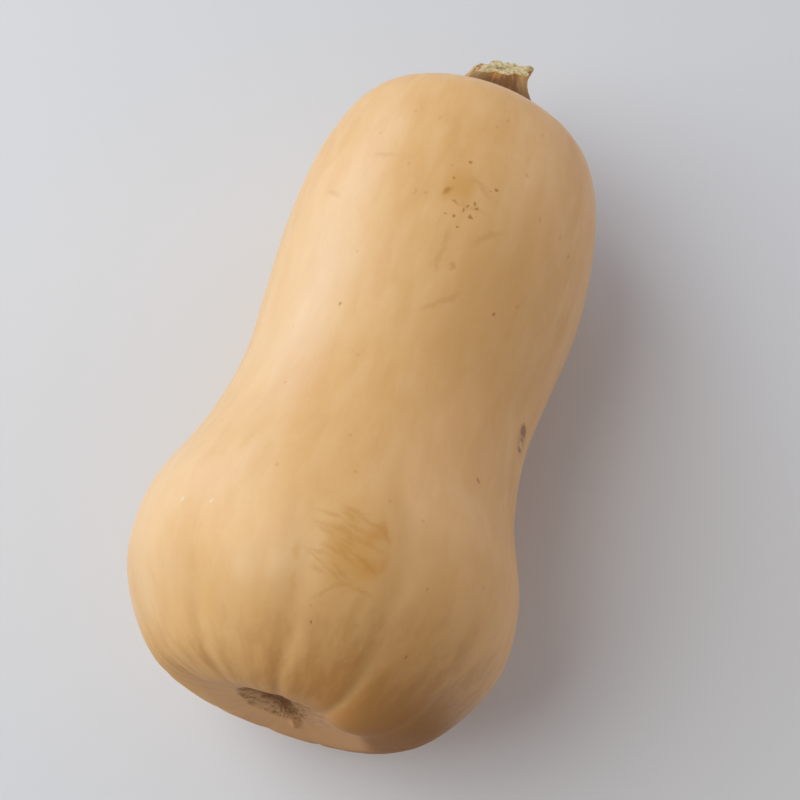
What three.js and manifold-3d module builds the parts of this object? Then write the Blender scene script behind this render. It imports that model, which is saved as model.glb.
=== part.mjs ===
// A butternut squash lying on its side: the fruit, grown as one piece, and the dry stub of its stem.
// Millimetres, +Z up. The squash lies along Y, blossom end towards -Y and stem towards +Y,
// with z = 0 on the surface it rests on.

import * as THREE from 'three';
import { mergeVertices } from 'three/addons/utils/BufferGeometryUtils.js';
import Module from 'manifold-3d';

const wasm = await Module();
wasm.setup();

// Driving dimensions of the fruit. Distances along its axis start at the crest around the blossom end.
const BODY_LENGTH = 214;
const BULB_RADIUS = 57.8;
const WAIST_RADIUS = 46.4;
const NECK_RADIUS = 49.5;
const CREST_RADIUS = 27;
const DIMPLE_DEPTH = 4.5;
const SIDE_SWAY = 0.95;

// Shallow lengthwise lobes, deepest round the blossom end and gone above the waist.
const LOBE_COUNT = 11;
const LOBE_HEIGHT = 0.8;
const LOBE_REACH = 40;
const LOBE_ANGLE = 73.6;

// The squash lies on its bulb and its neck, with the stem end a little lower.
const REST_TILT = 4.3;
const REST_FLAT_DEPTH = 0.8;

// Driving dimensions of the stem, measured from where it leaves the fruit.
const STEM_BASE_RADIUS = 16.4;
const STEM_WAIST_RADIUS = 9.2;
const STEM_LENGTH = 18.5;
const STEM_LEAN = 10;
const STEM_ASIDE = 2.5;
const STEM_ROOT = 6;
const RIB_COUNT = 5;
const RIB_HEIGHT = 0.12;
const CUT_SLANT = 34;
const STEM_GAP = 0.3;

const FRUIT_SEGMENTS = 66;
const STEM_SEGMENTS = 50;
const STEPS_PER_POINT = 2;

// Half outlines as [distance along the axis, radius]; each starts and ends on the axis.
const FRUIT_OUTLINE = [
  [DIMPLE_DEPTH, 0],
  [0.9 * DIMPLE_DEPTH, 8],
  [0.5 * DIMPLE_DEPTH, 16],
  [0.1 * DIMPLE_DEPTH, 23],
  [0, CREST_RADIUS],
  [3.5, 39],
  [14, 49.4],
  [30, 57.4],
  [50, BULB_RADIUS],
  [75, 49.6],
  [98, WAIST_RADIUS],
  [120, 47.5],
  [142, NECK_RADIUS],
  [162, 49.3],
  [182, 46.4],
  [198, 40],
  [208, 26],
  [BODY_LENGTH - 0.5, 16],
  [BODY_LENGTH - 1, 10],
  [BODY_LENGTH - 1.5, 0],
];

const STEM_OUTLINE = [
  [-STEM_ROOT, 0],
  [-STEM_ROOT, 0.9 * STEM_BASE_RADIUS],
  [0, STEM_BASE_RADIUS],
  [5, 14],
  [9, 11.8],
  [13, 10],
  [STEM_LENGTH, STEM_WAIST_RADIUS],
  [STEM_LENGTH + 6, 9.7],
  [STEM_LENGTH + 12, 10],
  [STEM_LENGTH + 12, 0],
];

const radians = THREE.MathUtils.degToRad;

// A round solid about Y whose outline is a smooth curve through the given points.
function revolve(outline, segments) {
  const knots = outline.map(([along, radius]) => new THREE.Vector3(radius, along, 0));
  const curve = new THREE.CatmullRomCurve3(knots, false, 'centripetal');
  const profile = curve
    .getPoints(STEPS_PER_POINT * (outline.length - 1))
    .map((point) => new THREE.Vector2(Math.max(point.x, 0), point.y));
  return new THREE.LatheGeometry(profile, segments);
}

// Moves every point in or out from the Y axis by a factor, and then sideways.
function reshape(geometry, factor, sideways) {
  const position = geometry.attributes.position;
  for (let i = 0; i < position.count; i += 1) {
    const x = position.getX(i);
    const y = position.getY(i);
    const z = position.getZ(i);
    const scale = factor(Math.atan2(z, x), y, Math.hypot(x, z));
    position.setXYZ(i, x * scale + sideways(y), y, z * scale);
  }
  return geometry;
}

function fruitLobes(angle, along, radius) {
  const fade = Math.exp(-((along / LOBE_REACH) ** 2)) * Math.min(1, radius / CREST_RADIUS);
  const wave = Math.cos(LOBE_COUNT * (angle - radians(LOBE_ANGLE)));
  return 1 + (LOBE_HEIGHT * fade * wave) / Math.max(radius, CREST_RADIUS);
}

// The fruit's centre line wanders a little from side to side.
function fruitSway(along) {
  return SIDE_SWAY * Math.sin(1.25 * Math.PI * ((2 * along) / BODY_LENGTH - 1));
}

function stemRibs(angle) {
  return 1 + RIB_HEIGHT * Math.cos(RIB_COUNT * (angle - radians(30)));
}

function toSolid(geometry) {
  const plain = geometry.clone();
  plain.deleteAttribute('normal');
  plain.deleteAttribute('uv');
  const merged = mergeVertices(plain, 1e-4);
  return new wasm.Manifold(
    new wasm.Mesh({
      numProp: 3,
      vertProperties: new Float32Array(merged.attributes.position.array),
      triVerts: new Uint32Array(merged.index.array),
    }),
  );
}

function toGeometry(solid) {
  const mesh = solid.getMesh();
  const geometry = new THREE.BufferGeometry();
  geometry.setAttribute('position', new THREE.BufferAttribute(mesh.vertProperties, 3));
  geometry.setIndex(new THREE.BufferAttribute(mesh.triVerts, 1));
  geometry.computeVertexNormals();
  return geometry;
}

// A block that takes away everything on the far side of a plane through a point.
function halfSpace(point, normal) {
  const size = 2 * BODY_LENGTH;
  const block = new THREE.BoxGeometry(size, size, size);
  block.translate(0, 0, size / 2);
  const turn = new THREE.Quaternion().setFromUnitVectors(new THREE.Vector3(0, 0, 1), normal);
  block.applyQuaternion(turn);
  block.translate(point.x, point.y, point.z);
  return toSolid(block);
}

// The fruit lies tilted, and its underside is trimmed to two small flats where it rests.
const lying = new THREE.Matrix4().makeRotationX(radians(-REST_TILT));
const fruitGeometry = reshape(revolve(FRUIT_OUTLINE, FRUIT_SEGMENTS), fruitLobes, fruitSway);
fruitGeometry.applyMatrix4(lying);
fruitGeometry.computeBoundingBox();
const drop = new THREE.Matrix4().makeTranslation(0, 0, -fruitGeometry.boundingBox.min.z - REST_FLAT_DEPTH);
fruitGeometry.applyMatrix4(drop);
const ground = halfSpace(new THREE.Vector3(0, 0, 0), new THREE.Vector3(0, 0, -1));
const fruitSolid = toSolid(fruitGeometry).subtract(ground);

// The stem stands a little to one side, leans up from the fruit's axis, and its slanted cut faces up.
const stemPose = new THREE.Matrix4()
  .multiply(drop)
  .multiply(lying)
  .multiply(new THREE.Matrix4().makeTranslation(fruitSway(BODY_LENGTH) + STEM_ASIDE, BODY_LENGTH - 1.5, 0))
  .multiply(new THREE.Matrix4().makeRotationX(radians(STEM_LEAN)));
const stemGeometry = reshape(revolve(STEM_OUTLINE, STEM_SEGMENTS), stemRibs, () => 0);
stemGeometry.applyMatrix4(stemPose);
const stemAxis = new THREE.Vector3(0, 1, 0).transformDirection(stemPose);
const cutCentre = new THREE.Vector3(0, STEM_LENGTH, 0).applyMatrix4(stemPose);
const cutNormal = stemAxis.clone().applyAxisAngle(new THREE.Vector3(1, 0, 0), radians(CUT_SLANT));
const fruitAxis = new THREE.Vector3(0, 1, 0).transformDirection(lying);
const socket = fruitSolid.translate(fruitAxis.clone().multiplyScalar(STEM_GAP).toArray());
const stemSolid = toSolid(stemGeometry).subtract(socket).subtract(halfSpace(cutCentre, cutNormal));

const fruit = new THREE.Mesh(
  toGeometry(fruitSolid),
  new THREE.MeshStandardMaterial({ color: 0xd9a46a, roughness: 0.55, metalness: 0 }),
);
fruit.name = 'fruit';

const stem = new THREE.Mesh(
  toGeometry(stemSolid),
  new THREE.MeshStandardMaterial({ color: 0x8f6a3f, roughness: 0.85, metalness: 0 }),
);
stem.name = 'stem';

// The whole squash is centred over the origin.
const squash = new THREE.Group();
squash.add(fruit, stem);
const box = new THREE.Box3().setFromObject(squash);
const centre = box.getCenter(new THREE.Vector3());
squash.position.set(-centre.x, -centre.y, 0);

export default squash;
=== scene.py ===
# A butternut squash lying on a pale floor in soft daylight.
# Lengths are millimetres on the squash and angles are degrees, unless a name says otherwise.
# A place on the fruit is given as its distance along the axis from the crest round the blossom end,
# and its angle round the axis, where 0 is towards +X and 90 is straight up.

import math

import bpy
import numpy as np
from mathutils import Matrix, Vector, noise


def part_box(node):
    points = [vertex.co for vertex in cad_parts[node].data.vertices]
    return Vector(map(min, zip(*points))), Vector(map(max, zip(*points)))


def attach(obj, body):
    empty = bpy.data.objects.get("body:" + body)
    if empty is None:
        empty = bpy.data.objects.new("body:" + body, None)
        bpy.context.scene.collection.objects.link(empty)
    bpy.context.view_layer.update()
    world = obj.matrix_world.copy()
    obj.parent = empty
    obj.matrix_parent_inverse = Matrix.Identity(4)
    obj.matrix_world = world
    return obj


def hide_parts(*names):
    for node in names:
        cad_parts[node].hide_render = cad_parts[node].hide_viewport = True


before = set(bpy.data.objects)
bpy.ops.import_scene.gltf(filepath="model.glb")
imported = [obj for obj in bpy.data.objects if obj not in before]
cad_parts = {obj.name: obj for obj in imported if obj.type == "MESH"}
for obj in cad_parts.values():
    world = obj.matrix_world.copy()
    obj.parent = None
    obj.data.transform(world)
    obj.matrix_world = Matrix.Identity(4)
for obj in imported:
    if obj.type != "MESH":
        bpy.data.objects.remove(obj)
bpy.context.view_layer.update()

# The fruit: a smooth outline turned about its axis, as the CAD part has it, each point of it
# (along, radius).
BODY_LENGTH = 214
DIMPLE_DEPTH = 4.5
CREST_RADIUS = 27
SIDE_SWAY = 0.95
REST_TILT = 4.3
REST_FLAT_DEPTH = 0.8
FRUIT_OUTLINE = [
    (DIMPLE_DEPTH, 0),
    (0.9 * DIMPLE_DEPTH, 8),
    (0.5 * DIMPLE_DEPTH, 16),
    (0.1 * DIMPLE_DEPTH, 23),
    (0, CREST_RADIUS),
    (3.5, 39),
    (14, 49.4),
    (30, 57.4),
    (50, 57.8),
    (75, 49.6),
    (98, 46.4),
    (120, 47.5),
    (142, 49.5),
    (162, 49.3),
    (182, 46.4),
    (198, 40),
    (208, 26),
    (BODY_LENGTH - 0.5, 16),
    (BODY_LENGTH - 1, 10),
    (BODY_LENGTH - 1.5, 0),
]

# The rind's grain is drawn on a cylinder of this radius, so that it runs lengthwise everywhere.
GRAIN_RADIUS = 57

# The corky scar in the dimple, where the flower was, with a dark pit and a small nub in it.
SCAR_RADIUS = 15.5
SCAR_CELL = 3.6
SCAR_RELIEF = 0.55
PIT_DEPTH = 1.2
NUB_HEIGHT = 1.6

# Furrows that run out of the dimple and fade over the bulb: (angle, depth, how far they reach).
FURROWS = [
    (90, 0.5, 22),
    (61, 0.5, 27),
    (124, 0.35, 17),
    (29, 0.15, 22),
    (-5, 0.2, 24),
    (-38, 0.2, 24),
    (-70, 0.35, 24),
    (-103, 0.3, 24),
    (-135, 0.35, 24),
    (-168, 0.35, 24),
    (152, 0.6, 18),
]

# Pale stripes run up the bulb from the furrows, partly paler rind and partly painted light on the
# furrow wall that faces the light, each with a browner edge of painted shade on the wall turned
# away: (angle, strength, reach).
STRIPES = [
    (88, 0.8, 46),
    (60.5, 0.8, 58),
    (120, 0.6, 26),
    (30, 0.25, 40),
    (-5, 0.2, 40),
    (-38, 0.25, 36),
    (-70, 0.4, 40),
    (-103, 0.4, 36),
    (-135, 0.4, 40),
    (-168, 0.4, 36),
    (153, 0.4, 36),
]

# On the upper left of the dimple a fold of rind hangs over the wall below it.
FOLD_ANGLE = 153
FOLD_DEPTH = 1.6

# One lobe beside the furrow on the right of the top swells over the lip of the dimple, which is
# filled out below it.
LOBE_ANGLE = 47
LOBE_SWELL = 3
FILL_ANGLE = -15
FILL_DEPTH = 1.3

# The stem, measured from where it leaves the fruit. Its root is sunk into the fruit.
STEM_LENGTH = 18.5
STEM_ROOT = 4
STEM_LEAN = 10
STEM_ASIDE = 2.5
STEM_OUTLINE = [
    (-STEM_ROOT, 17.5),
    (0, 16.4),
    (5, 14),
    (9, 11.8),
    (13, 10),
    (18, 9.2),
    (24, 9.7),
    (34, 10),
]
BARK_RADIUS = 11

# The stem's ribs: (angle, size at the foot, size at the cut).
STEM_RIBS = [(33, 1, 1), (122, 0.9, 0.7), (178, 1, 0.6), (-112, 0.8, 0.8), (-40, 0.9, 1)]
RIB_SPREAD = 19

# The stem is cut at a slant: it is longest on its underside, so the cut faces up, and a little
# longer on its right. The middle of the cut is hollow.
CUT_SLANT = 34
CUT_SIDE_SLANT = 8
HOLLOW_DEPTH = 3.2

# The meshes' points: how many lie round the axis, and in how many rings. The first DIMPLE_RINGS of
# the fruit are inside its crest, where it has no marks.
FRUIT_AROUND = 384
FRUIT_RINGS = 250
DIMPLE_RINGS = FRUIT_RINGS // 6
STEM_AROUND = 160
STEM_RINGS = 64
CUT_RINGS = 26
CUT_STEPS = 8

MILLIMETRE = 0.001


def smooth_step(value, low, high):
    """0 below low, 1 above high, and a smooth rise between them."""
    share = np.clip((np.asarray(value, float) - low) / (high - low), 0, 1)
    return share * share * (3 - 2 * share)


def smooth_curve(points, steps):
    """Points along a centripetal Catmull-Rom curve through the given ones, steps to a stretch."""
    points = np.array(points, float)
    ends = 2 * points[0] - points[1], 2 * points[-1] - points[-2]
    points = np.vstack([ends[0], points, ends[1]])
    curve = []
    for stretch in range(len(points) - 3):
        p0, p1, p2, p3 = points[stretch : stretch + 4]
        t1 = math.sqrt(np.linalg.norm(p1 - p0))
        t2 = t1 + math.sqrt(np.linalg.norm(p2 - p1))
        t3 = t2 + math.sqrt(np.linalg.norm(p3 - p2))
        for t in np.linspace(t1, t2, steps, endpoint=False):
            a1 = p0 + (p1 - p0) * t / t1
            a2 = p1 + (p2 - p1) * (t - t1) / (t2 - t1)
            a3 = p2 + (p3 - p2) * (t - t2) / (t3 - t2)
            b1 = a1 + (a2 - a1) * t / t2
            b2 = a2 + (a3 - a2) * (t - t1) / (t3 - t1)
            curve.append(b1 + (b2 - b1) * (t - t1) / (t2 - t1))
    curve.append(points[-2])
    return np.array(curve)


def wobble(points, size, seed):
    """Smooth noise from about -1 to 1, with lumps of the given size."""
    shift = Vector((17.3, 5.1, 9.7)) * seed
    return np.array([noise.noise(Vector(point) + shift) for point in points / size])


def cells(points, size, seed):
    """0 on the borders between rounded cells of the given size, rising towards their middles."""
    shift = Vector((3.1, 8.7, 1.9)) * seed
    gaps = []
    for point in points / size:
        distances = noise.voronoi(Vector(point) + shift)[0]
        gaps.append(distances[1] - distances[0])
    return np.array(gaps)


def angle_gap(angle, centre):
    """How far an angle is from another, the short way round."""
    return (angle - centre + 180) % 360 - 180


# ---------------------------------------------------------------- the squash's own frame

def tip(points):
    """Turns points from the squash's own frame, where its axis is Y, to the way it lies."""
    tilt = math.radians(-REST_TILT)
    return points @ np.array(Matrix.Rotation(tilt, 3, "X")).T


def sway(along):
    """The fruit's centre line wanders a little from side to side."""
    return SIDE_SWAY * np.sin(1.25 * math.pi * (2 * along / BODY_LENGTH - 1))


def plain_fruit():
    """The surface of the lying fruit without its relief, as a coarse cloud of points."""
    along, radius = smooth_curve(FRUIT_OUTLINE, 8).T[:, :, None]
    angle = np.radians(np.arange(0, 360, 3))
    x = radius * np.cos(angle) + sway(along)
    z = radius * np.sin(angle)
    y = along + 0 * angle
    return tip(np.stack([x, y, z], -1).reshape(-1, 3))


class Placement:
    """Takes points from the squash's own frame to metres in the CAD frame, where the fruit fits
    the box of the CAD fruit."""

    def __init__(self):
        low, high = (np.array(corner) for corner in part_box("fruit"))
        own = plain_fruit()
        own_low = own.min(0)
        own_high = own.max(0)
        self.unit = (high[1] - low[1]) / (own_high[1] - own_low[1])
        middle = (own_low + own_high) / 2
        self.origin = np.array([middle[0], middle[1], own_low[2] + REST_FLAT_DEPTH])
        self.offset = np.array([(low[0] + high[0]) / 2, (low[1] + high[1]) / 2, low[2]])

    def __call__(self, points):
        return (tip(points) - self.origin) * self.unit + self.offset


place = Placement()


def rest_on_floor(points, floor_height):
    """Flattens softly whatever would sink below the floor, and sets the lowest point on it."""
    ease = 0.3 * MILLIMETRE
    above = points[:, 2] - floor_height
    points[:, 2] = floor_height + (above + np.sqrt(above**2 + ease**2)) / 2
    points[:, 2] += floor_height - points[:, 2].min()
    return points


# ---------------------------------------------------------------- the fruit's surface

def ring_places():
    """Where the fruit's rings of points go: their distance down the outline, along and radius."""
    curve = smooth_curve(FRUIT_OUTLINE, 60)
    steps = np.linalg.norm(np.diff(curve, axis=0), axis=1)
    arc = np.concatenate([[0], np.cumsum(steps)])
    # The rings are closest in the dimple, widest on the body and a little closer by the stem.
    spacing = 0.5 + 0.9 * smooth_step(arc, 25, 70) - 0.3 * smooth_step(arc, arc[-1] - 60, arc[-1])
    share = np.concatenate([[0], np.cumsum(steps / spacing[:-1])])
    wanted = np.interp(np.linspace(0, share[-1], FRUIT_RINGS), share, arc)
    along = np.interp(wanted, arc, curve[:, 0])
    radius = np.interp(wanted, arc, curve[:, 1])
    return wanted, along, radius


def furrow_depth(along, radius, angle):
    """How deep the furrows cut, which are narrow folds at the lip and wide hollows on the bulb."""
    width = 1.8 + 0.15 * along
    fold = smooth_step(radius, SCAR_RADIUS, CREST_RADIUS)
    depth = 0
    for centre, deepest, reach in FURROWS:
        gap = np.radians(angle_gap(angle, centre)) * radius
        fade = np.exp(-((along / reach) ** 2)) * fold
        depth = depth + deepest * fade * np.exp(-((gap / width) ** 2))
    return depth


def stripe_strength(along, radius, angle):
    """How strongly the pale stripes show, partly paler rind and partly painted light, and the
    browner bands of painted shade beside them.
    """
    width = 1.3 + 0.055 * along
    pale, brown = 0, 0
    for centre, strength, reach in STRIPES:
        gap = np.radians(angle_gap(angle, centre)) * radius
        fade = strength * np.exp(-((along / reach) ** 4)) * smooth_step(radius, 22, 38)
        pale = pale + fade * np.exp(-((gap / width) ** 2))
        brown = brown + fade * np.exp(-(((gap - 2.2 * width) / (1.3 * width)) ** 2))
    return pale, brown


def scar_shape(x, z, radius):
    """How far the scar covers the rind, its net of corky ridges, its dark pit, where it is
    smoother, and its relief."""
    flat = np.stack([x, z, 0 * x], -1)
    ragged = radius + 1.3 * wobble(flat, 5, 31) + 0.6 * wobble(flat, 1.8, 32)
    cover = 1 - smooth_step(ragged, SCAR_RADIUS - 1.2, SCAR_RADIUS + 0.4)
    bent = flat + 1.6 * np.stack([wobble(flat, 5, 33), wobble(flat, 5, 34), 0 * x], -1)
    bent = bent + 0.5 * np.stack([wobble(flat, 1.5, 35), wobble(flat, 1.5, 36), 0 * x], -1)
    net = 1 - smooth_step(cells(bent * (0.75, 1, 1), SCAR_CELL, 1), 0.02, 0.22)
    fine = 1 - smooth_step(cells(bent * (0.8, 1, 1), SCAR_CELL / 2.4, 2), 0.03, 0.3)
    patchy = 0.75 + 0.5 * wobble(flat, 3, 37)
    ridges = np.clip(np.maximum(net, 0.6 * fine) * patchy, 0, 1)
    smooth = smooth_step(x + 5 * wobble(flat, 5, 38) + 2 * wobble(flat, 1.6, 40), 0, 13)
    pit = np.exp(-(((x + 4.5 + 0.5 * z) / (4.2 + 0.15 * z)) ** 2) - ((z - 1) / 12) ** 4)
    pit = np.clip(pit * (1.5 + 1.2 * wobble(flat, 2.5, 39)), 0, 1)
    nub = np.exp(-(((x - 2.5) / 1.3) ** 2) - ((z + 16) / 1.6) ** 2)
    relief = cover * (SCAR_RELIEF * (1 - 0.6 * smooth) * (ridges - 0.6) - PIT_DEPTH * pit)
    return cover, ridges, pit * cover, smooth, relief + NUB_HEIGHT * nub


def fruit_surface():
    """The fruit's points in the squash's own frame, ring by ring, their places in the grain, and
    the values its skin needs."""
    arc, along, radius = ring_places()
    angle = np.arange(FRUIT_AROUND) * 360 / FRUIT_AROUND - 90
    slope_along = np.gradient(along, arc)
    slope_radius = np.gradient(radius, arc)
    shape = (FRUIT_RINGS, FRUIT_AROUND)
    grid = {
        "arc": np.broadcast_to(arc[:, None], shape).ravel(),
        "along": np.broadcast_to(along[:, None], shape).ravel(),
        "radius": np.broadcast_to(radius[:, None], shape).ravel(),
        "angle": np.broadcast_to(angle, shape).ravel(),
        "out_along": np.broadcast_to(-slope_radius[:, None], shape).ravel(),
        "out_radius": np.broadcast_to(slope_along[:, None], shape).ravel(),
    }
    turn = np.radians(grid["angle"])
    cos, sin = np.cos(turn), np.sin(turn)
    x, z = grid["radius"] * cos, grid["radius"] * sin
    points = np.stack([x, grid["along"], z], -1)
    grain = np.stack([GRAIN_RADIUS * cos, grid["arc"], GRAIN_RADIUS * sin], -1)

    furrow = furrow_depth(grid["along"], grid["radius"], grid["angle"])
    ragged_angle = grid["angle"] + 2.5 * wobble(points, 14, 5) + 0.8 * wobble(points, 4, 6)
    pale_and_lit_stripe, stripe_shade = stripe_strength(grid["along"], grid["radius"], ragged_angle)
    at_blossom_end = grid["along"] < BODY_LENGTH / 2
    near_scar = np.flatnonzero((grid["radius"] < SCAR_RADIUS + 4) & at_blossom_end)
    scar, net, pit, smooth_scar, scar_relief = (np.zeros(len(x)) for _ in range(5))
    for whole, part in zip(
        (scar, net, pit, smooth_scar, scar_relief),
        scar_shape(x[near_scar], z[near_scar], grid["radius"][near_scar]),
    ):
        whole[near_scar] = part

    # Broad dents, smaller dents, dents drawn out along the grain, and fine lengthwise lines.
    even = smooth_step(grid["radius"], 15, 45)
    relief = (
        0.5 * wobble(points, 42, 1)
        + 0.22 * wobble(points, 19, 2)
        + 0.08 * wobble(grain * (1, 0.5, 1), 9, 3) * even
        + 0.012 * wobble(grain * (1, 0.08, 1), 2.6, 4) * even
        - furrow
        + scar_relief
    )
    out = np.stack([grid["out_radius"] * cos, grid["out_along"], grid["out_radius"] * sin], -1)
    points = points + out * relief[:, None]

    # The swollen lobe, the filling below it, and on the left the sunk wall below the fold.
    beside_lobe = angle_gap(grid["angle"], LOBE_ANGLE)
    lobe = at_blossom_end * np.exp(-((beside_lobe / np.where(beside_lobe < 0, 20, 15)) ** 2))
    lobe = lobe * np.exp(-(((grid["radius"] - 31) / 9) ** 2))
    filled = at_blossom_end * np.exp(-((angle_gap(grid["angle"], FILL_ANGLE) / 45) ** 2))
    filled = filled * smooth_step(grid["radius"], 6, 20) * (1 - smooth_step(grid["radius"], 24, 40))
    beside_fold = angle_gap(grid["angle"], FOLD_ANGLE)
    below_fold = smooth_step(beside_fold * grid["radius"], 0, 45)
    below_fold = below_fold * (1 - smooth_step(beside_fold, 25, 75))
    sunk = at_blossom_end * below_fold * np.exp(-(((grid["radius"] - 25) / 8) ** 2))
    points[:, 1] += FOLD_DEPTH * sunk - LOBE_SWELL * lobe - FILL_DEPTH * filled

    points[:, 0] += sway(grid["along"])
    ragged_radius = grid["radius"] + 3 * wobble(points, 8, 7)
    values = {
        "along": grid["along"],
        "pale_and_lit_stripe": pale_and_lit_stripe,
        "stripe_shade": stripe_shade,
        "scar": scar,
        "net": net,
        "pit": pit,
        "smooth_scar": smooth_scar,
        "end_face": at_blossom_end * (1 - smooth_step(ragged_radius, 22, 34)),
    }
    return points, grain, values


def grid_faces(rings, around):
    """Outward faces of a closed tube of rings: quads between rings, and fans to the first and last
    ring's single points. Also each face corner's (column, ring), for the unwrapping."""
    faces, corners = [], []
    last = 1 + (rings - 2) * around
    for column in range(around):
        right = column + 1
        beside = right % around
        faces.append((0, 1 + column, 1 + beside))
        corners.append(((column + 0.5, 0), (column, 1), (right, 1)))
        for ring in range(1, rings - 2):
            start = 1 + (ring - 1) * around
            above = start + around
            faces.append((start + column, above + column, above + beside, start + beside))
            corners.append(((column, ring), (column, ring + 1), (right, ring + 1), (right, ring)))
        start = last - around
        faces.append((start + beside, start + column, last))
        corners.append(((right, rings - 2), (column, rings - 2), (column + 0.5, rings - 1)))
    return faces, corners


def to_single_ends(values, around):
    """Grid values, with the first and the last ring cut to the single point that each stands for."""
    first = values[:around].mean(0, keepdims=True)
    last = values[-around:].mean(0, keepdims=True)
    return np.concatenate([first, values[around:-around], last])


def make_piece(name, points, faces, corner_places, values, grain):
    """A smooth-shaded mesh object with its unwrapping and the values its material reads."""
    mesh = bpy.data.meshes.new(name)
    mesh.from_pydata(points.tolist(), [], faces)
    mesh.polygons.foreach_set("use_smooth", [True] * len(mesh.polygons))
    unwrapping = mesh.uv_layers.new(name="OFBake")
    flat = [number for corners in corner_places for place_uv in corners for number in place_uv]
    unwrapping.data.foreach_set("uv", flat)
    for key, numbers in values.items():
        attribute = mesh.attributes.new(key, "FLOAT", "POINT")
        attribute.data.foreach_set("value", np.asarray(numbers, np.float32))
    attribute = mesh.attributes.new("grain", "FLOAT_VECTOR", "POINT")
    attribute.data.foreach_set("vector", np.asarray(grain, np.float32).ravel())
    mesh.validate()
    piece = bpy.data.objects.new(name, mesh)
    bpy.context.scene.collection.objects.link(piece)
    return piece


class Fruit:
    """The fruit's mesh, and where a place given as along and angle lies on it."""

    def __init__(self):
        points, grain, values = fruit_surface()
        self.along = values["along"].reshape(FRUIT_RINGS, FRUIT_AROUND)[:, 0]
        placed = rest_on_floor(place(points), place.offset[2])
        self.grid = placed.reshape(FRUIT_RINGS, FRUIT_AROUND, 3)
        faces, corners = grid_faces(FRUIT_RINGS, FRUIT_AROUND)
        arc = ring_places()[0]
        height = arc / arc[-1]
        unwrapped = [
            [(column / FRUIT_AROUND, height[ring]) for column, ring in face] for face in corners
        ]
        self.piece = make_piece(
            "squash_fruit",
            to_single_ends(placed, FRUIT_AROUND),
            faces,
            unwrapped,
            {key: to_single_ends(each, FRUIT_AROUND) for key, each in values.items()},
            to_single_ends(grain, FRUIT_AROUND),
        )

    def spot(self, along, angle):
        """A frame on the skin outside the dimple: its origin on the surface, Y towards the stem, Z
        outwards, and X to the right as seen from outside with the stem up."""
        ring = DIMPLE_RINGS + int(np.argmin(abs(self.along[DIMPLE_RINGS:] - along)))
        column = round((angle + 90) % 360 / 360 * FRUIT_AROUND) % FRUIT_AROUND
        further = min(ring + 2, FRUIT_RINGS - 2)
        to_stem = Vector(self.grid[further, column] - self.grid[ring - 2, column])
        beside = self.grid[ring, (column + 2) % FRUIT_AROUND] - self.grid[ring, column - 2]
        to_stem.normalize()
        outward = to_stem.cross(Vector(beside)).normalized()
        across = to_stem.cross(outward)
        frame_here = Matrix((across, to_stem, outward)).transposed().to_4x4()
        frame_here.translation = Vector(self.grid[ring, column])
        return frame_here


# ---------------------------------------------------------------- the stem's surface

def rib_height(angle, along):
    """1 on the crest of a full rib and near 0 in the hollow between two."""
    upward = smooth_step(along, 0, 18)
    height = 0
    for centre, foot, end in STEM_RIBS:
        size = foot + (end - foot) * upward
        crest = np.exp(-((angle_gap(angle, centre) / RIB_SPREAD) ** 2))
        height = np.maximum(height, size * crest)
    return height


def stem_radius(angle, along):
    """The stem's radius, with ribs that spread at its foot and again at its cut end, and stand out
    most on its left."""
    outline = smooth_curve(STEM_OUTLINE, 12)
    plain = np.interp(along, outline[:, 0], outline[:, 1])
    left = smooth_step(-np.cos(np.radians(angle)), -0.4, 0.9)
    foot = (0.1 + 0.2 * left) * (1 - smooth_step(along, 0, 16))
    flare = 0.42 * left * np.exp(-(((along - 11) / 6) ** 2))
    cut_end_spread = 0.2 * smooth_step(along, 10, 24)
    spread = 0.12 + (foot + flare) + cut_end_spread
    return plain * (1 + spread * (rib_height(angle, along) - 0.45))


def cut_height(x, z):
    """How far along the stem the slanted cut is, across the stem."""
    rise = math.tan(math.radians(CUT_SLANT))
    side_rise = math.tan(math.radians(CUT_SIDE_SLANT))
    return STEM_LENGTH - z * rise + x * side_rise


def cut_end(angle):
    """How far along the stem its side reaches before the cut, closed in on step by step."""
    turn = np.radians(angle)
    end = np.full(len(angle), float(STEM_LENGTH))
    for _ in range(CUT_STEPS):
        radius = stem_radius(angle, end)
        end = (end + cut_height(radius * np.cos(turn), radius * np.sin(turn))) / 2
    return end


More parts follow.
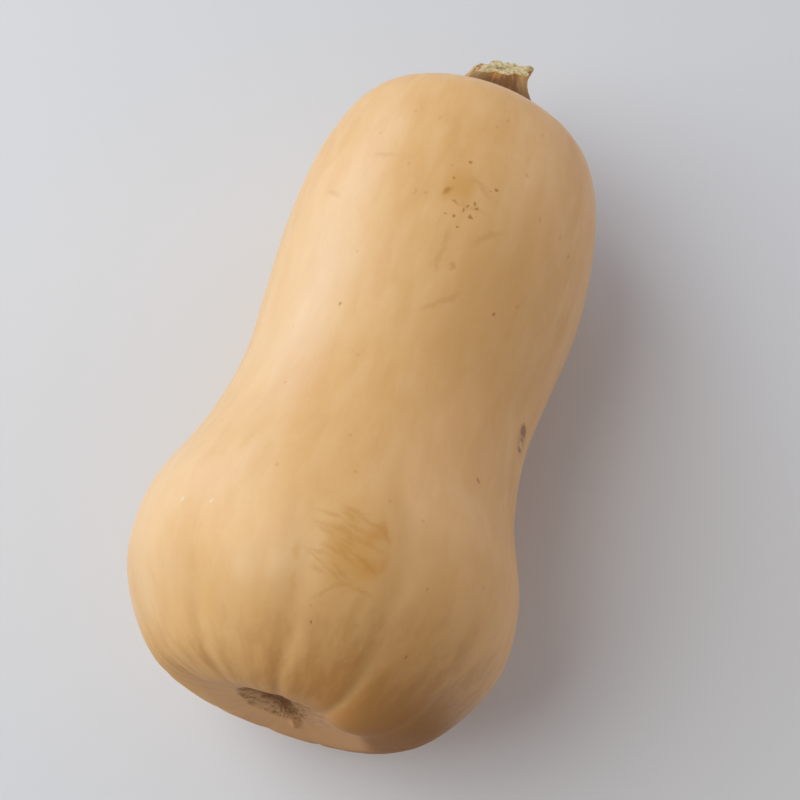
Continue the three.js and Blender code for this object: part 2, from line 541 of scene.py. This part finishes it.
def stem_surface():
    """The stem's points in its own frame, along Y, their places in the bark's grain, and the
    values its material needs."""
    angle = np.arange(STEM_AROUND) * 360 / STEM_AROUND - 90
    turn = np.radians(angle)
    end = cut_end(angle) + 0.35 * np.sin(8 * turn) + 0.2 * np.sin(19 * turn)
    rings, values = [], {"cut": [], "rib": [], "hollow": [], "height": []}
    for share in np.linspace(0, 1, STEM_RINGS):
        along = -STEM_ROOT + (end + STEM_ROOT) * (1 - (1 - share) ** 1.3)
        radius = stem_radius(angle, along) - 0.45 * smooth_step(share, 0.97, 1)
        ring = np.stack([radius * np.cos(turn), along, radius * np.sin(turn)], -1)
        rings.append(ring)
        values["cut"].append(np.full(STEM_AROUND, smooth_step(share, 0.965, 1)))
        values["rib"].append(rib_height(angle, along))
        values["hollow"].append(np.zeros(STEM_AROUND))
        values["height"].append(along)
    rim = rings[-1]
    middle = np.array([0, STEM_LENGTH, 0])
    for share in np.linspace(1, 0, CUT_RINGS + 1)[1:]:
        ring = middle + (rim - middle) * share
        flat = np.stack([ring[:, 0], ring[:, 2], 0 * ring[:, 0]], -1)
        hollow = np.exp(-(((ring[:, 0] + 0.5) / 4.4) ** 2) - ((ring[:, 2] + 1.5) / 3.2) ** 2)
        torn = 0.35 * wobble(flat, 1.6, 41) + 0.5 * wobble(flat, 4, 42)
        ring[:, 1] += torn * smooth_step(1 - share, 0, 0.15) - HOLLOW_DEPTH * hollow
        ring[:, 1] += 0.7 * smooth_step(ring[:, 0], -9, -5) * smooth_step(1 - share, 0, 0.1)
        rings.append(ring)
        values["cut"].append(smooth_step(ring[:, 0], -8, -6))
        values["rib"].append(0 * angle)
        values["hollow"].append(hollow)
        values["height"].append(ring[:, 1])
    points = np.concatenate(rings)
    values = {key: np.concatenate(each) for key, each in values.items()}

    side = 1 - values["cut"]
    turned = np.tile(turn, len(rings))
    fibre = np.stack([np.cos(turned) * BARK_RADIUS, points[:, 1], np.sin(turned) * BARK_RADIUS], -1)
    bark = 0.3 * wobble(fibre * (1, 0.12, 1), 1.5, 43) + 0.35 * wobble(fibre * (1, 0.5, 1), 4, 44)
    out = np.stack([np.cos(turned), 0 * turned, np.sin(turned)], -1)
    points = points + out * (bark * side)[:, None]
    return points, fibre, values


def make_stem():
    """The dry stub of stem, standing in the shallow hollow at the top of the neck."""
    points, fibre, values = stem_surface()
    rings = STEM_RINGS + CUT_RINGS
    lean = np.array(Matrix.Rotation(math.radians(STEM_LEAN), 3, "X"))
    foot = np.array([sway(BODY_LENGTH) + STEM_ASIDE, BODY_LENGTH - 1.5, 0])
    placed = place(points @ lean.T + foot)
    start = placed[:STEM_AROUND].mean(0)
    points = np.concatenate([np.tile(start, (STEM_AROUND, 1)), placed])
    fibre = np.concatenate([fibre[:STEM_AROUND], fibre])
    values = {key: np.concatenate([each[:STEM_AROUND], each]) for key, each in values.items()}
    faces, corners = grid_faces(rings + 1, STEM_AROUND)
    unwrapped = [[stem_unwrapping(column, ring) for column, ring in face] for face in corners]
    return make_piece(
        "squash_stem",
        to_single_ends(points, STEM_AROUND),
        faces,
        unwrapped,
        {key: to_single_ends(each, STEM_AROUND) for key, each in values.items()},
        to_single_ends(fibre, STEM_AROUND),
    )


def stem_unwrapping(column, ring):
    """Where a point goes in the stem's map: the side fills the lower part of it, and the cut is a
    disc above that."""
    if ring <= STEM_RINGS:
        return column / STEM_AROUND, 0.6 * ring / STEM_RINGS
    share = 1 - (ring - STEM_RINGS) / CUT_RINGS
    turn = 2 * math.pi * column / STEM_AROUND
    return 0.2 + 0.18 * share * math.cos(turn), 0.81 + 0.18 * share * math.sin(turn)


# ---------------------------------------------------------------- materials

class Nodes:
    """The nodes of one new material, made and joined by short calls."""

    def __init__(self, name):
        self.material = bpy.data.materials.new(name)
        self.material.use_nodes = True
        self.tree = self.material.node_tree
        self.shader = self.tree.nodes["Principled BSDF"]

    def join(self, value, socket):
        """Links a node's output to a socket, or sets the socket to a plain value."""
        if isinstance(value, bpy.types.NodeSocket):
            self.tree.links.new(value, socket)
        else:
            socket.default_value = value

    def add(self, kind, inputs, **settings):
        """A new node of a kind, with its inputs joined and its settings made."""
        made = self.tree.nodes.new("ShaderNode" + kind)
        for key, value in settings.items():
            setattr(made, key, value)
        for key, value in inputs.items():
            self.join(value, made.inputs[key])
        return made

    def value(self, name):
        """A value stored on the mesh."""
        return self.add("Attribute", {}, attribute_name=name).outputs["Fac"]

    def vector(self, name):
        """A vector stored on the mesh."""
        return self.add("Attribute", {}, attribute_name=name).outputs["Vector"]

    def place(self):
        """Where on the piece a point is, in metres."""
        return self.add("TexCoord", {}).outputs["Object"]

    def math(self, operation, first, second=0.0):
        return self.add("Math", {0: first, 1: second}, operation=operation).outputs[0]

    def stretch(self, vector, factors):
        inputs = {0: vector, 1: factors}
        return self.add("VectorMath", inputs, operation="MULTIPLY").outputs[0]

    def noise(self, vector, scale, detail=2.0, roughness=0.5):
        """Noise from 0 to 1. The scale is per metre on a place, and per millimetre on the grain."""
        inputs = {"Vector": vector, "Scale": scale, "Detail": detail, "Roughness": roughness}
        return self.add("TexNoise", inputs).outputs["Fac"]

    def ramp(self, value, low, high, start=0.0, end=1.0):
        """A smooth change from start to end as the value goes from low to high."""
        inputs = {"Value": value, "From Min": low, "From Max": high, "To Min": start, "To Max": end}
        return self.add("MapRange", inputs, interpolation_type="SMOOTHSTEP").outputs["Result"]

    def mix(self, share, first, second):
        """The first colour with the second laid over it by a share."""
        made = self.add("Mix", {0: share}, data_type="RGBA")
        self.join(first, made.inputs[6])
        self.join(second, made.inputs[7])
        return made.outputs[2]

    def warp(self, vector, scale, amount):
        """The vector shifted about by noise, so that what is drawn with it isn't too regular."""
        inputs = {"Vector": vector, "Scale": scale, "Detail": 1.0}
        shift = self.add("TexNoise", inputs).outputs["Color"]
        centred = self.add("VectorMath", {0: shift, 1: (0.5, 0.5, 0.5)}, operation="SUBTRACT")
        scaled = self.add("VectorMath", {0: centred.outputs[0], "Scale": amount}, operation="SCALE")
        return self.add("VectorMath", {0: vector, 1: scaled.outputs[0]}, operation="ADD").outputs[0]

    def dot(self, first, second):
        made = self.add("VectorMath", {0: first, 1: second}, operation="DOT_PRODUCT")
        return made.outputs["Value"]

    def facing(self, grain, angle):
        """The cosine of the angle between a place on the fruit and a given one, round its axis."""
        turn = math.radians(angle)
        return self.dot(grain, (math.cos(turn) / GRAIN_RADIUS, 0, math.sin(turn) / GRAIN_RADIUS))

    def cell(self, vector, scale):
        """How far a place is from the nearest of many scattered points, in cells."""
        return self.add("TexVoronoi", {"Vector": vector, "Scale": scale}).outputs["Distance"]

    def nearest(self, vector, ovals):
        """How far a place is from the nearest of some ovals: 0 at its middle and 1 at its edge.
        An oval is its centre, the direction across it, and its half length and half width."""
        closest = None
        for centre, across, half_length, half_width in ovals:
            away = self.add("VectorMath", {0: vector, 1: centre}, operation="SUBTRACT").outputs[0]
            squared = self.math("MULTIPLY", self.dot(away, away), half_length**-2)
            narrower = math.sqrt(half_width**-2 - half_length**-2)
            sideways = self.dot(away, across * narrower)
            reach = self.math("ADD", squared, self.math("MULTIPLY", sideways, sideways))
            closest = reach if closest is None else self.math("MINIMUM", closest, reach)
        return self.math("SQRT", closest)


def rgb(red, green, blue):
    return (red, green, blue, 1.0)


# The rind's colours.
TAN = rgb(0.81, 0.475, 0.185)
BROWN_TAN = rgb(0.73, 0.385, 0.12)
PALE_TAN = rgb(0.87, 0.56, 0.26)
# The pale stripes' tan, partly painted light.
STRIPE_TAN_AND_LIGHT = rgb(0.84, 0.51, 0.20)
# Painted sheen: the paler tint on the lit left side.
PAINTED_SHEEN = rgb(0.87, 0.60, 0.34)
OCHRE = rgb(0.48, 0.20, 0.035)
# Partly the rind's own burnt brown and partly painted shade on the lowest lobe.
BURNT_AND_SHADE = rgb(0.24, 0.085, 0.015)
TAUPE = rgb(0.65, 0.36, 0.175)
OLIVE = rgb(0.68, 0.345, 0.075)
ORANGE = rgb(0.66, 0.29, 0.045)
RUST = rgb(0.52, 0.22, 0.03)
SPECK_BROWN = rgb(0.42, 0.15, 0.02)
CORK_LINE = rgb(0.56, 0.31, 0.13)
CORK_SHADE = rgb(0.27, 0.12, 0.04)
CORK_DARK = rgb(0.18, 0.06, 0.008)
# Cream for the pale flecks and for the painted highlight on the wound.
FLECK_AND_GLINT_CREAM = rgb(0.86, 0.74, 0.56)

# The stem's colours: its bark, and the pith of its cut face.
# Brown for the hollows between the ribs, partly the bark's own and partly painted shade.
BARK_BROWN_AND_SHADE = rgb(0.30, 0.13, 0.03)
BARK_TAN = rgb(0.62, 0.37, 0.12)
BARK_ORANGE = rgb(0.62, 0.28, 0.05)
BARK_STRAW = rgb(0.76, 0.56, 0.29)
BARK_CRACK = rgb(0.13, 0.05, 0.01)
# The bark's own darker brown and painted shade at the foot, where the stem stands in the fruit.
BARK_FOOT_AND_SHADE = rgb(0.14, 0.05, 0.01)
BARK_RIM = rgb(0.74, 0.58, 0.33)
PITH_SHADE = rgb(0.48, 0.35, 0.14)
PITH = rgb(0.80, 0.65, 0.35)
# Painted shade in the hollow in the middle of the cut.
HOLLOW_SHADE = rgb(0.12, 0.10, 0.035)

# Marks on the rind, each (along, angle, length, width, turn from the fruit's axis).
DARK_SPECKS = [
    (147, 81, 1.1, 0.8, 20),
    (149, 79.5, 1.4, 0.9, -30),
    (150, 78, 1.2, 0.8, 0),
    (149.5, 76.5, 1.1, 0.7, 20),
    (146, 78, 1.8, 0.7, 60),
    (144.5, 83.5, 1.4, 1.2, 0),
    (144, 86, 1, 0.5, 80),
    (142, 80.5, 0.9, 0.7, 0),
    (158, 72.5, 1.2, 1, 0),
    (156, 74, 1, 0.6, 60),
    (164.5, 83, 1.2, 1, 0),
    (157, 87.5, 1.1, 0.7, 40),
    (122, 57.5, 1.3, 1.1, 0),
    (110, 112, 1, 0.8, 0),
    (73, 43.5, 1.6, 1.3, 40),
    (16, 84.5, 1, 0.8, 0),
    (17, 52.5, 1, 0.8, 0),
]
FAINT_SPECKS = [
    (128.5, 50, 1.2, 1, 0),
    (129, 78, 2, 1.7, 0),
    (129, 78, 1.4, 1.2, 0),
    (176.5, 99.5, 1.2, 1, 0),
    (184, 74.5, 1.4, 1.1, 0),
    (180.5, 78, 1.2, 1, 0),
    (186, 59, 1.2, 1, 0),
    (157, 53, 2, 1, 10),
    (156, 42.5, 1.6, 0.8, 0),
    (153, 34.5, 2, 0.8, 0),
    (169, 63, 1.4, 1, 0),
    (149.5, 98.5, 1.4, 0.9, 0),
    (158, 104, 1.3, 1, 0),
    (34, 56.5, 1.2, 1, 0),
    (43, 37.5, 1.4, 1, 0),
]
# Two pale flecks on the left of the bulb, and last a painted highlight on the edge of the wound.
PALE_FLECKS_AND_GLINT = [
    (39.7, 120.5, 1.3, 1.2, 0),
    (40.5, 132, 1.4, 1.3, 0),
    (95.3, 17, 3.6, 1.8, 85),
]
# The small wound on the right of the waist.
WOUND = [
    (99.8, 18.5, 6, 4, 85),
    (97, 17.5, 2.6, 1.2, 85),
    (93.4, 17.5, 4, 1.2, 85),
]
# The blotch on the neck, and two dull patches beside the top furrow.
BLOTCHES = [
    (154.5, 83.5, 12, 10, 0),
    (151.5, 87.5, 8, 4.5, -30),
    (31, 92.7, 6, 2.2, 0),
    (24.5, 92.2, 5.5, 2, 0),
]
# Two darker edges in the blotch, and the shade round the wound.
BLOTCH_EDGES = [
    (151.5, 88.5, 3.8, 1.3, -35),
    (148.5, 84, 2.4, 0.9, 70),
    (97, 18, 9, 8, 10),
]
# Broad, browner patches on the right of the neck, the waist and the bulb.
BROWN_PATCHES = [
    (124, 62, 80, 32, -4),
    (92, 50, 60, 22, 0),
    (150, 54, 44, 20, 0),
    (22, 52, 30, 24, 0),
    (33, 53, 22, 16, 0),
]
# The scuffed patch on the bulb, and its more orange middle.
SCUFF = [(35, 79, 21, 17, 20)]
SCUFF_CORE = [
    (33, 74, 6.5, 4.5, 110),
    (33.5, 70.5, 6, 2.6, -10),
    (43, 74, 6, 4, -60),
]

# Thin marks, each a line through places given as (along, angle): scratches on the scuffed patch,
# and soft lines on the neck.
FINE_SCRATCHES = [
    [(45.7, 83.5), (45.7, 80), (44.8, 73.5), (41.4, 71.5)],
    [(40.5, 87.5), (39.7, 81), (38.9, 80)],
    [(39.7, 80), (38.9, 72.5)],
    [(34.7, 78.5), (33.1, 74), (32.3, 72.5)],
    [(22.2, 84.5), (26.4, 80.5), (27.8, 77.5), (27.1, 71.5)],
]
SOFT_LINES = [
    [(158, 80), (157.5, 78), (156, 76)],
    [(149, 80.5), (149, 76.5)],
    [(140, 72), (142, 70.5), (144.5, 68)],
    [(138.5, 83), (135.5, 83), (131, 84), (128.5, 83.5)],
    [(114.5, 80.5), (120, 74.5), (122, 73)],
    [(160.3, 112.5), (160.3, 115.5)],
    [(147, 129), (148, 131)],
]
FINE_WIDTH = 1.3
SOFT_WIDTH = 1.6
SCRATCH_COUNT = 16
SCRATCH_SEED = 4

# Places on the left side with painted sheen, a paler tint where the light shines on the rind:
# (along, angle, length, width, turn).
PAINTED_SHEEN_PLACES = [(42, 150, 82, 66, 0), (112, 136, 120, 52, 0)]


def oval(fruit, along, angle, length, width, turn):
    """An oval mark on the fruit for Nodes.nearest, its length turned from the fruit's axis."""
    frame_there = fruit.spot(along, angle) @ Matrix.Rotation(math.radians(turn), 4, "Z")
    across = frame_there.col[0].to_3d()
    return frame_there.translation, across, length / 2 * place.unit, width / 2 * place.unit


def line_ovals(fruit, line, width):
    """Thin ovals end to end along a line of places on the fruit."""
    ovals = []
    for (along, angle), (next_along, next_angle) in zip(line, line[1:]):
        sideways = math.radians(next_angle - angle) * GRAIN_RADIUS
        onward = next_along - along
        length = math.hypot(sideways, onward) + 2 * width
        turn = math.degrees(math.atan2(sideways, onward))
        middle = (along + next_along) / 2, (angle + next_angle) / 2
        ovals.append(oval(fruit, *middle, length, width, turn))
    return ovals


def scratch_ovals(fruit):
    """The scuff on the bulb: a few listed lines among many nearly parallel hairlines."""
    ovals = [each for line in FINE_SCRATCHES for each in line_ovals(fruit, line, FINE_WIDTH)]
    chance = np.random.default_rng(SCRATCH_SEED)
    for step in range(SCRATCH_COUNT):
        along = 27 + 19 * (step + chance.uniform()) / SCRATCH_COUNT
        angle = chance.uniform(73, 89)
        length = chance.uniform(3.5, 7.5)
        width = chance.uniform(0.8, 1.6)
        ovals.append(oval(fruit, along, angle, length, width, chance.normal(76, 8)))
    return ovals


def skin_tone(nodes, grain, along, mottle):
    """The rind's ground colour: tan, drawn out lengthwise in brown and pale streaks, and ochre
    round the blossom end, further up on the right than on the left."""
    brown = nodes.noise(nodes.stretch(grain, (0.07, 0.022, 0.07)), 1.0, 2, 0.5)
    pale = nodes.noise(nodes.stretch(grain, (0.08, 0.034, 0.08)), 1.3, 2, 0.5)
    colour = nodes.mix(nodes.ramp(brown, 0.45, 0.7, 0, 0.42), TAN, BROWN_TAN)
    colour = nodes.mix(nodes.ramp(pale, 0.48, 0.7, 0, 0.32), colour, PALE_TAN)
    colour = nodes.mix(nodes.ramp(mottle, 0.5, 0.66, 0, 0.2), colour, PALE_TAN)
    colour = nodes.mix(nodes.ramp(mottle, 0.5, 0.34, 0, 0.2), colour, BROWN_TAN)

    to_left = nodes.ramp(nodes.facing(grain, 170), -0.6, 0.9, 0, 24)
    ragged = nodes.math("ADD", to_left, nodes.ramp(mottle, 0.3, 0.7, 5, -5))
    ragged = nodes.math("ADD", along, ragged)
    colour = nodes.mix(nodes.ramp(ragged, 42, 14, 0, 0.45), colour, BROWN_TAN)
    colour = nodes.mix(nodes.ramp(ragged, 38, 2, 0, 0.85), colour, OCHRE)
    # The stripes: paler rind and painted light on the lit wall of each furrow, with a band of
    # painted shade on the wall turned away.
    colour = nodes.mix(nodes.math("MULTIPLY", nodes.value("stripe_shade"), 0.32), colour, OCHRE)
    return nodes.mix(nodes.math("MULTIPLY", nodes.value("pale_and_lit_stripe"), 0.5), colour, STRIPE_TAN_AND_LIGHT)


def lay_marks(nodes, fruit, colour, place_on):
    """Tints, blotches, scratches and specks over the ground colour, and how far the marks that are
    pressed into the rind cover it."""
    loose = nodes.warp(place_on, 160, 0.005)
    near = nodes.warp(place_on, 500, 0.002)

    def spots(table, vector):
        return nodes.nearest(vector, [oval(fruit, *each) for each in table])

    tint = nodes.ramp(spots(BROWN_PATCHES, loose), 1.1, 0.3, 0, 0.38)
    colour = nodes.mix(tint, colour, BROWN_TAN)
    colour = nodes.mix(nodes.ramp(spots(SCUFF, loose), 1.3, 0.3, 0, 0.55), colour, OLIVE)
    colour = nodes.mix(nodes.ramp(spots(SCUFF_CORE, loose), 1.8, 0, 0, 0.52), colour, ORANGE)
    colour = nodes.mix(nodes.ramp(spots(BLOTCHES, loose), 1.3, 0.3, 0, 0.55), colour, OLIVE)
    edge = nodes.ramp(spots(BLOTCH_EDGES, near), 1.5, 0.3, 0, 0.5)
    colour = nodes.mix(edge, colour, SPECK_BROWN)

    soft = [each for line in SOFT_LINES for each in line_ovals(fruit, line, SOFT_WIDTH)]
    soft_share = nodes.ramp(nodes.nearest(near, soft), 1.8, 0.2, 0, 0.24)
    colour = nodes.mix(soft_share, colour, RUST)
    scratch = nodes.ramp(nodes.nearest(near, scratch_ovals(fruit)), 1.7, 0.2, 0, 0.25)
    colour = nodes.mix(scratch, colour, RUST)

    faint = nodes.ramp(spots(FAINT_SPECKS, near), 1.6, 0.3, 0, 0.4)
    colour = nodes.mix(faint, colour, RUST)
    freckle = nodes.ramp(nodes.cell(place_on, 80), 0.07, 0.02, 0, 0.3)
    colour = nodes.mix(freckle, colour, RUST)
    dark = nodes.ramp(spots(DARK_SPECKS, near), 1.5, 0.4, 0, 0.72)
    colour = nodes.mix(dark, colour, SPECK_BROWN)
    wound = nodes.ramp(spots(WOUND, near), 1.4, 0.4, 0, 0.7)
    colour = nodes.mix(wound, colour, CORK_DARK)
    # Pale flecks, the last of them a painted highlight on the wound's edge.
    fleck_and_glint = nodes.ramp(spots(PALE_FLECKS_AND_GLINT, near), 1.4, 0.3, 0, 0.42)
    colour = nodes.mix(fleck_and_glint, colour, FLECK_AND_GLINT_CREAM)
    cover = nodes.math("MAXIMUM", nodes.math("MAXIMUM", dark, edge), scratch)
    return colour, cover


def make_skin(fruit):
    """The rind: waxy-matt, smoother than the cork and the end face."""
    nodes = Nodes("butternut_rind")
    grain = nodes.vector("grain")
    along = nodes.value("along")
    place_on = nodes.place()
    mottle = nodes.noise(nodes.warp(nodes.stretch(grain, (0.2, 0.09, 0.2)), 1.0, 0.9), 1.0, 3, 0.55)

    colour = skin_tone(nodes, grain, along, mottle)
    # Painted sheen on the lit left side of the bulb and the neck.
    painted_sheen_ovals = [oval(fruit, *each) for each in PAINTED_SHEEN_PLACES]
    painted_sheen = nodes.nearest(nodes.warp(place_on, 40, 0.02), painted_sheen_ovals)
    colour = nodes.mix(nodes.ramp(painted_sheen, 1.1, 0.2, 0, 0.46), colour, PAINTED_SHEEN)
    lenticel = nodes.ramp(nodes.cell(place_on, 330), 0.2, 0.05, 0, 0.12)
    colour = nodes.mix(lenticel, colour, PALE_TAN)
    colour, marked = lay_marks(nodes, fruit, colour, place_on)

    # The end face inside the crest is taupe, the lowest lobe beside it is burnt brown, partly its
    # own and partly painted shade on the side turned from the light, and the scar in the middle is
    # corky.
    colour = nodes.mix(nodes.math("MULTIPLY", nodes.value("end_face"), 0.6), colour, TAUPE)
    # Painted shade, with the rind's own darker brown, on the lowest lobe on the right of the blossom
    # end.
    low = nodes.ramp(nodes.facing(grain, -15), 0.25, 0.95)
    low = nodes.math("MULTIPLY", low, nodes.ramp(along, 22, 4, 0, 0.6))
    low = nodes.math("MULTIPLY", low, nodes.ramp(nodes.value("end_face"), 0.3, 1, 1, 0.1))
    colour = nodes.mix(low, colour, BURNT_AND_SHADE)
    scar = nodes.value("scar")
    net = nodes.value("net")
    grit = nodes.noise(place_on, 1500, 3, 0.6)
    net = nodes.math("ADD", net, nodes.ramp(grit, 0.3, 0.7, -0.3, 0.3))
    cork = nodes.mix(nodes.ramp(net, -0.2, 0.8), CORK_SHADE, CORK_LINE)
    cork = nodes.mix(nodes.ramp(nodes.value("smooth_scar"), 0.1, 0.8, 0, 0.6), cork, TAUPE)
    cork = nodes.mix(nodes.math("MULTIPLY", nodes.value("pit"), 0.9), cork, CORK_DARK)
    colour = nodes.mix(scar, colour, cork)

    waxy = nodes.noise(nodes.stretch(grain, (0.2, 0.05, 0.2)), 1.0, 3)
    rough = nodes.ramp(waxy, 0.3, 0.7, 0.33, 0.43)
    rough = nodes.math("MAXIMUM", rough, nodes.ramp(along, 18, 3, 0.3, 0.8))
    rough = nodes.math("MAXIMUM", rough, nodes.math("MULTIPLY", scar, 0.85))
    nodes.join(colour, nodes.shader.inputs["Base Color"])
    nodes.join(rough, nodes.shader.inputs["Roughness"])

    pores = nodes.noise(place_on, 900, 2, 0.6)
    dents = nodes.noise(place_on, 190, 1)
    lines = nodes.noise(nodes.stretch(grain, (0.8, 0.05, 0.8)), 1.0, 2, 0.5)
    lines = nodes.math("MULTIPLY", lines, 0.4)
    height = nodes.math("ADD", nodes.math("MULTIPLY", pores, 0.25), lines)
    height = nodes.math("ADD", height, nodes.math("MULTIPLY", dents, 2.5))
    height = nodes.math("SUBTRACT", height, nodes.math("MULTIPLY", marked, 1.5))
    bump = nodes.add("Bump", {"Strength": 0.3, "Distance": 0.00012, "Height": height})
    nodes.join(bump.outputs[0], nodes.shader.inputs["Normal"])
    return nodes.material


def make_stem_material():
    """Ribbed bark in strands, and a gritty, paler cut. The bark is browner in the hollows between
    ribs and darkest at its foot, each partly its own colour and partly painted shade, and the cut's
    hollow is painted shade.
    """
    nodes = Nodes("dry_stem")
    fibre = nodes.vector("grain")
    cut = nodes.value("cut")
    rib = nodes.value("rib")
    hollow = nodes.value("hollow")
    height_up = nodes.value("height")

    strands = nodes.noise(nodes.stretch(fibre, (0.9, 0.09, 0.9)), 1.0, 4, 0.6)
    patches = nodes.noise(nodes.stretch(fibre, (0.25, 0.15, 0.25)), 1.0, 3, 0.6)
    # Browner between the ribs: partly the bark's own colour, partly painted shade in the hollows.
    side = nodes.mix(nodes.ramp(rib, 0.2, 0.75), BARK_BROWN_AND_SHADE, BARK_TAN)
    side = nodes.mix(nodes.ramp(patches, 0.48, 0.6, 0, 0.75), side, BARK_ORANGE)
    side = nodes.mix(nodes.ramp(strands, 0.52, 0.68, 0, 0.6), side, BARK_STRAW)
    side = nodes.mix(nodes.ramp(strands, 0.47, 0.3, 0, 0.8), side, BARK_CRACK)
    # Darker towards the foot: partly the bark's own brown, partly painted shade where the stem meets
    # the fruit.
    side = nodes.mix(nodes.ramp(height_up, 15, 6, 0, 0.7), side, BARK_FOOT_AND_SHADE)
    side = nodes.mix(nodes.ramp(cut, 0, 0.3, 0, 0.6), side, BARK_RIM)

    grit = nodes.noise(nodes.place(), 700, 4, 0.65)
    face = nodes.mix(nodes.ramp(grit, 0.35, 0.65), PITH_SHADE, PITH)
    # Painted shade in the cut's sunken hollow.
    face = nodes.mix(nodes.ramp(hollow, 0.25, 0.7, 0, 0.9), face, HOLLOW_SHADE)
    colour = nodes.mix(nodes.ramp(cut, 0.3, 0.9), side, face)
    nodes.join(colour, nodes.shader.inputs["Base Color"])
    nodes.join(nodes.ramp(strands, 0.3, 0.7, 0.62, 0.9), nodes.shader.inputs["Roughness"])
    height = nodes.math("ADD", strands, nodes.math("MULTIPLY", grit, 0.6))
    bump = nodes.add("Bump", {"Strength": 0.7, "Distance": 0.0004, "Height": height})
    nodes.join(bump.outputs[0], nodes.shader.inputs["Normal"])
    return nodes.material


# ---------------------------------------------------------------- stage, light and camera

FLOOR_HALF_SIZE_M = 5.0
FLOOR_GREY = rgb(0.765, 0.765, 0.765)
SKY_COLOUR = (0.92, 0.91, 1.0, 1.0)
SKY_STRENGTH = 0.305

# Soft lights: (name, azimuth, elevation, distance in m, size in m, watts, colour).
LIGHTS = [
    ("window", 280, 50, 1.6, 1.8, 18.9, (0.965, 1.0, 0.99)),
    ("low_sky", 240, 12, 3.2, 2.4, 44.8, (0.61, 0.75, 1.0)),
    ("warm_return", 140, 10, 3.2, 2.4, 25.6, (1.0, 0.83, 0.69)),
]

# The camera is seen from the fruit at this azimuth and elevation. It stands at this distance from
# the middle of the fruit's box, moved this far to its own right and up. Its field is the angle
# that the view covers from side to side.
CAMERA_AZIMUTH = 17.1
CAMERA_ELEVATION = 71
CAMERA_DISTANCE = 496
CAMERA_RIGHT = 3.6
CAMERA_UP = -4.7
CAMERA_FIELD = 28
SENSOR_WIDTH = 36


def make_floor():
    """A plain pale floor at the height that the fruit rests on."""
    mesh = bpy.data.meshes.new("floor")
    half = FLOOR_HALF_SIZE_M
    sides = [(-half, -half), (half, -half), (half, half), (-half, half)]
    mesh.from_pydata([(x, y, place.offset[2]) for x, y in sides], [], [(0, 1, 2, 3)])
    floor = bpy.data.objects.new("floor", mesh)
    bpy.context.scene.collection.objects.link(floor)
    nodes = Nodes("pale_floor")
    nodes.shader.inputs["Base Color"].default_value = FLOOR_GREY
    nodes.shader.inputs["Roughness"].default_value = 0.55
    nodes.shader.inputs["Specular IOR Level"].default_value = 0.3
    mesh.materials.append(nodes.material)


def direction(azimuth, elevation):
    """The way from the squash to something seen at that azimuth and elevation. Azimuth 0 is
    towards -Y, and 90 is towards +X."""
    turn, rise = math.radians(azimuth), math.radians(elevation)
    level = math.cos(rise)
    return Vector((math.sin(turn) * level, -math.cos(turn) * level, math.sin(rise)))


def make_area_light(name, azimuth, elevation, distance_m, size_m, watts, colour):
    """A round, soft light that faces the squash."""
    light = bpy.data.lights.new(name, "AREA")
    light.shape = "DISK"
    light.size = size_m
    light.energy = watts
    light.color = colour
    lamp = bpy.data.objects.new(name, light)
    towards = direction(azimuth, elevation)
    lamp.location = towards * distance_m
    lamp.rotation_mode = "QUATERNION"
    lamp.rotation_quaternion = towards.to_track_quat("Z", "Y")
    bpy.context.scene.collection.objects.link(lamp)


def make_world():
    """An even, faintly blue sky all round."""
    world = bpy.data.worlds.new("studio")
    world.use_nodes = True
    background = world.node_tree.nodes["Background"]
    background.inputs["Color"].default_value = SKY_COLOUR
    background.inputs["Strength"].default_value = SKY_STRENGTH
    bpy.context.scene.world = world


def make_camera():
    """A camera at the photo's viewing angle."""
    camera_data = bpy.data.cameras.new("camera")
    camera_data.sensor_width = SENSOR_WIDTH
    camera_data.lens = camera_data.sensor_width / 2 / math.tan(math.radians(CAMERA_FIELD / 2))
    camera = bpy.data.objects.new("camera", camera_data)
    back = direction(CAMERA_AZIMUTH, CAMERA_ELEVATION)
    turned = back.to_track_quat("Z", "Y")
    low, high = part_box("fruit")
    offset = turned @ Vector((CAMERA_RIGHT, CAMERA_UP, CAMERA_DISTANCE))
    camera.location = (low + high) / 2 + offset * place.unit
    camera.rotation_mode = "QUATERNION"
    camera.rotation_quaternion = turned
    bpy.context.scene.collection.objects.link(camera)
    bpy.context.scene.camera = camera


# ---------------------------------------------------------------- putting it together

fruit = Fruit()
fruit.piece.data.materials.append(make_skin(fruit))
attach(fruit.piece, "root")
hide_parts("fruit")

stem = make_stem()
stem.data.materials.append(make_stem_material())
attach(stem, "root")
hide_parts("stem")

make_floor()
make_world()
for light_settings in LIGHTS:
    make_area_light(*light_settings)
make_camera()
bpy.context.scene.view_settings.view_transform = "Standard"
